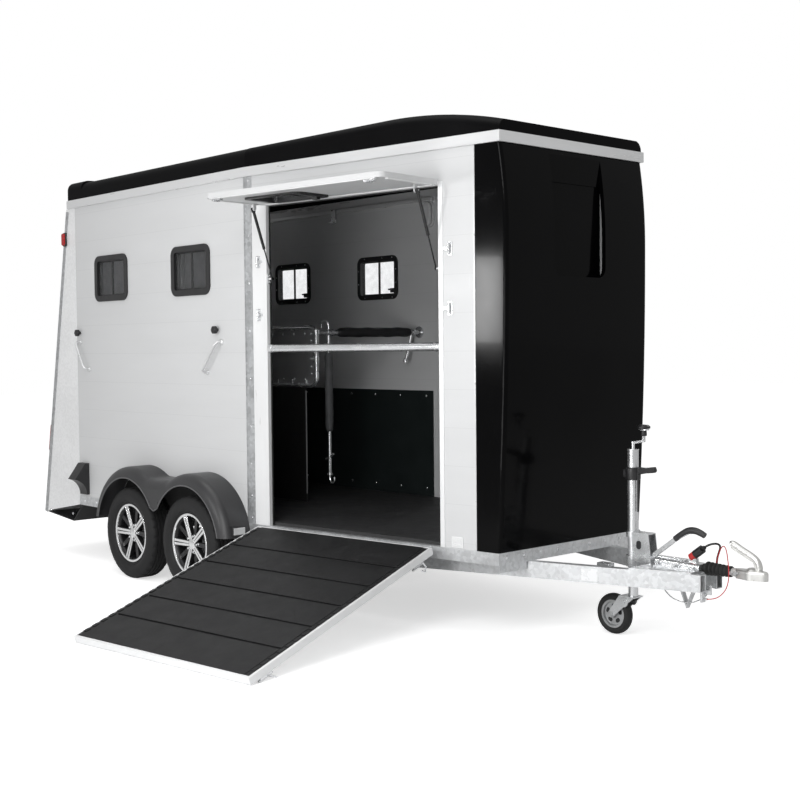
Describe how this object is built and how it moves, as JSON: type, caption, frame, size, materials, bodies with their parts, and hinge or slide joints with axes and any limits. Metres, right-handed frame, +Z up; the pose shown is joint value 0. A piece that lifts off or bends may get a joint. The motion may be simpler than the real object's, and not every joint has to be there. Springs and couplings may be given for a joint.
{
  "type": "horse trailer",
  "caption": "Tandem-axle horse trailer with tapered nose, side ramp and hatch, rear ramp, stall partition, overrun coupling and jockey wheel.",
  "frame": {"origin": "centre of the ball socket in the coupling head, 430 mm above the ground", "axes": "+X forward towards the tow ball, +Y to the left, +Z up"},
  "size_m": [5.97, 3.321, 2.8859],
  "materials": {
    "galvanised": "hot-dip zinc",
    "axle_steel": "satin black",
    "deck": "coated plywood",
    "white_panel": "smooth white",
    "pale_aluminium": "pale grey",
    "strip_steel": "zinc strip",
    "black_shell": "gloss black shell",
    "silver_band": "silver",
    "black_roof": "gloss black shell",
    "frame_grey": "satin grey",
    "black_plate": "textured black",
    "black_trim": "satin black",
    "tinted_glass": "tinted",
    "guard_plastic": "moulded charcoal",
    "red_lens": "red lens",
    "clear_lens": "clear lens",
    "grip_metal": "satin silver",
    "kick_board": "grey board",
    "partition_metal": "grey metal",
    "rubber_skirt": "black sheet",
    "bar_metal": "zinc tube",
    "black_pad": "black padded cover",
    "coupling_zinc": "zinc plated",
    "black_rubber": "black rubber",
    "lever_zinc": "zinc with black grip",
    "jockey_zinc": "zinc plated",
    "red_plastic": "red plastic",
    "plug_black": "black plastic",
    "cable_black": "black cable",
    "cable_red": "red sheath",
    "ramp_white": "pale edge frame",
    "ramp_rubber": "black ribbed mat",
    "hatch_panel": "white panel",
    "solid_tyre": "solid black tyre",
    "jockey_disc": "zinc disc",
    "strut_black": "black tube",
    "rod_chrome": "bright rod",
    "road_tyre": "black road tyre",
    "alloy_rim": "polished and dark alloy"
  },
  "bodies": {
    "root": {"chassis_frame": "galvanised", "drawbar": "galvanised", "axles": "axle_steel", "floor_deck": "deck", "side_walls": "white_panel", "front_walls": "white_panel", "door_frame": "pale_aluminium", "joint_strips": "strip_steel", "nose_shell": "black_shell", "trim_band": "silver_band", "roof_rear": "black_roof", "roof_front": "black_roof", "rear_frame": "frame_grey", "rear_apron": "black_plate", "window_frames": "black_trim", "window_panes": "tinted_glass", "mudguards": "guard_plastic", "tail_lamps": "red_lens", "marker_lamps": "clear_lens", "wheel_chocks": "black_trim", "grab_handles": "grip_metal", "tie_knobs": "black_trim", "kick_panels": "kick_board", "partition_frame": "partition_metal", "partition_skirt": "rubber_skirt", "breast_bars": "bar_metal", "bar_pads": "black_pad", "door_bar": "bar_metal", "overrun_housing": "coupling_zinc", "bellows": "black_rubber", "coupling_head": "coupling_zinc", "handbrake_lever": "lever_zinc", "jockey_tube": "jockey_zinc", "plug_socket": "red_plastic", "cable_plug": "plug_black", "electric_cable": "cable_black", "breakaway_cable": "cable_red", "breakaway_clip": "jockey_zinc"},
    "side_ramp": {"side_ramp": "ramp_white", "ramp_mat": "ramp_rubber"},
    "side_hatch": {"side_hatch": "hatch_panel", "hatch_window_frame": "black_trim", "hatch_pane": "tinted_glass"},
    "rear_ramp": {"rear_ramp": "white_panel"},
    "rear_flap": {"rear_flap": "white_panel"},
    "jockey_leg": {"jockey_leg": "jockey_zinc"},
    "jockey_wheel": {"jockey_tyre": "solid_tyre", "jockey_rim": "jockey_disc"},
    "strut_barrel_front": {"strut_barrel_front": "strut_black"},
    "strut_rod_front": {"strut_rod_front": "rod_chrome"},
    "wheel_front_right": {"tyre_front_right": "road_tyre", "rim_front_right": "alloy_rim"},
    "wheel_front_left": {"tyre_front_left": "road_tyre", "rim_front_left": "alloy_rim"},
    "strut_barrel_rear": {"strut_barrel_rear": "strut_black"},
    "strut_rod_rear": {"strut_rod_rear": "rod_chrome"},
    "wheel_rear_right": {"tyre_rear_right": "road_tyre", "rim_rear_right": "alloy_rim"},
    "wheel_rear_left": {"tyre_rear_left": "road_tyre", "rim_rear_left": "alloy_rim"}
  },
  "joints": [
    {"name": "wheel_front_right_spin", "type": "hinge", "parent": "root", "child": "wheel_front_right", "pos_m": [-3.53, -0.9525, -0.113], "axis": [0, 1, 0], "continuous": true},
    {"name": "wheel_front_left_spin", "type": "hinge", "parent": "root", "child": "wheel_front_left", "pos_m": [-3.53, 0.9525, -0.113], "axis": [0, 1, 0], "continuous": true},
    {"name": "wheel_rear_right_spin", "type": "hinge", "parent": "root", "child": "wheel_rear_right", "pos_m": [-4.27, -0.9525, -0.113], "axis": [0, 1, 0], "continuous": true},
    {"name": "wheel_rear_left_spin", "type": "hinge", "parent": "root", "child": "wheel_rear_left", "pos_m": [-4.27, 0.9525, -0.113], "axis": [0, 1, 0], "continuous": true},
    {"name": "side_ramp_hinge", "type": "hinge", "parent": "root", "child": "side_ramp", "pos_m": [-2.24058, -0.79432, 0.033], "axis": [-0.9929, -0.1185, 0], "range_deg": [0, 107.96]},
    {"name": "side_hatch_hinge", "type": "hinge", "parent": "root", "child": "side_hatch", "pos_m": [-2.20375, -0.77381, 2.06], "axis": [0.9929, 0.1185, 0], "range_deg": [0, 90]},
    {"name": "strut_rear_swing", "type": "hinge", "parent": "side_hatch", "child": "strut_barrel_rear", "pos_m": [-2.85797, -0.9627, 2.01], "axis": [0.9929, 0.1185, 0], "range_deg": [-111.12, 0]},
    {"name": "strut_rear_slide", "type": "slide", "parent": "strut_barrel_rear", "child": "strut_rod_rear", "axis": [0.0414, -0.3472, 0.9369], "range_m": [0, 0.08815]},
    {"name": "strut_front_swing", "type": "hinge", "parent": "side_hatch", "child": "strut_barrel_front", "pos_m": [-1.56118, -0.80788, 2.01], "axis": [0.9929, 0.1185, 0], "range_deg": [-111.12, 0]},
    {"name": "strut_front_slide", "type": "slide", "parent": "strut_barrel_front", "child": "strut_rod_front", "axis": [0.0414, -0.3472, 0.9369], "range_m": [0, 0.08815]},
    {"name": "rear_ramp_hinge", "type": "hinge", "parent": "root", "child": "rear_ramp", "pos_m": [-5.87424, 0, -0.04098], "axis": [0, -1, 0], "range_deg": [0, 117.73]},
    {"name": "rear_flap_hinge", "type": "hinge", "parent": "root", "child": "rear_flap", "pos_m": [-5.45421, 0, 2.18393], "axis": [0, 1, 0], "range_deg": [0, 100]},
    {"name": "jockey_slide", "type": "slide", "parent": "root", "child": "jockey_leg", "axis": [0, 0, 1], "range_m": [-0.2, 0.115]},
    {"name": "jockey_wheel_spin", "type": "hinge", "parent": "jockey_leg", "child": "jockey_wheel", "pos_m": [-0.859, 0, -0.3175], "axis": [0, 1, 0], "continuous": true}
  ],
  "couplings": [
    {"joint": "strut_rear_swing", "follows": "side_hatch_hinge", "ratio": -1.2345},
    {"joint": "strut_rear_slide", "follows": "side_hatch_hinge", "m_per_rad": 0.056111},
    {"joint": "strut_front_swing", "follows": "side_hatch_hinge", "ratio": -1.2345},
    {"joint": "strut_front_slide", "follows": "side_hatch_hinge", "m_per_rad": 0.056111}
  ]
}
